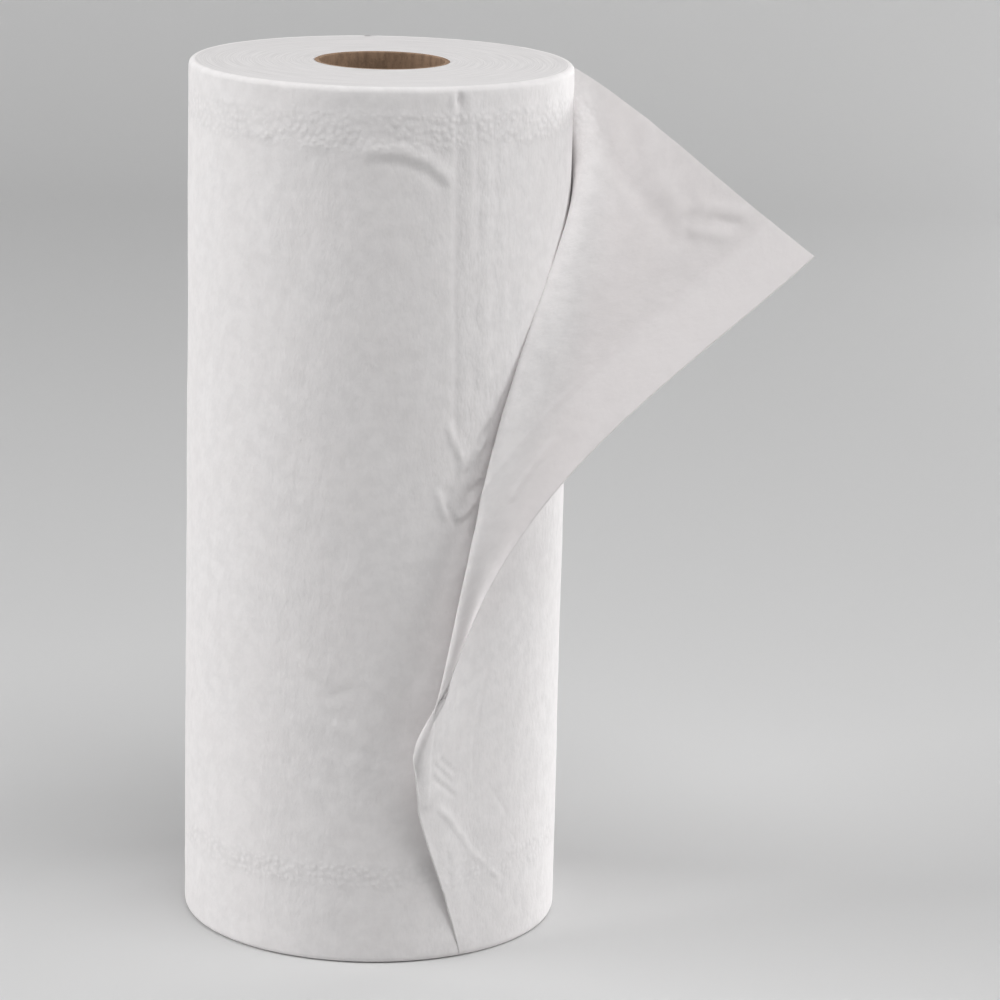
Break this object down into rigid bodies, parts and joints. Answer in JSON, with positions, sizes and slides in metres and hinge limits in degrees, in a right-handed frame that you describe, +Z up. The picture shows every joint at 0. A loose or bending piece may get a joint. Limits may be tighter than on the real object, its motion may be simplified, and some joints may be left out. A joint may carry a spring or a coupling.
{
  "type": "examination couch roll",
  "caption": "Tall roll of soft white paper on a cardboard tube, with the loose end of the web folded back as a flap.",
  "frame": {"origin": "on the roll's axis at its foot, the middle of the surface it stands on", "axes": "+Z up along the axis of the tube, -Y the front of the roll, +X the side that the loose end is folded back to"},
  "size_m": [0.1769, 0.1164, 0.25],
  "materials": {
    "tube_board": "matt grey-brown board with a spiral seam",
    "web_paper": "soft creped two-ply tissue, matt, with embossed edge bands"
  },
  "bodies": {
    "root": {"core_tube": "tube_board", "paper_roll": "web_paper"}
  },
  "joints": []
}
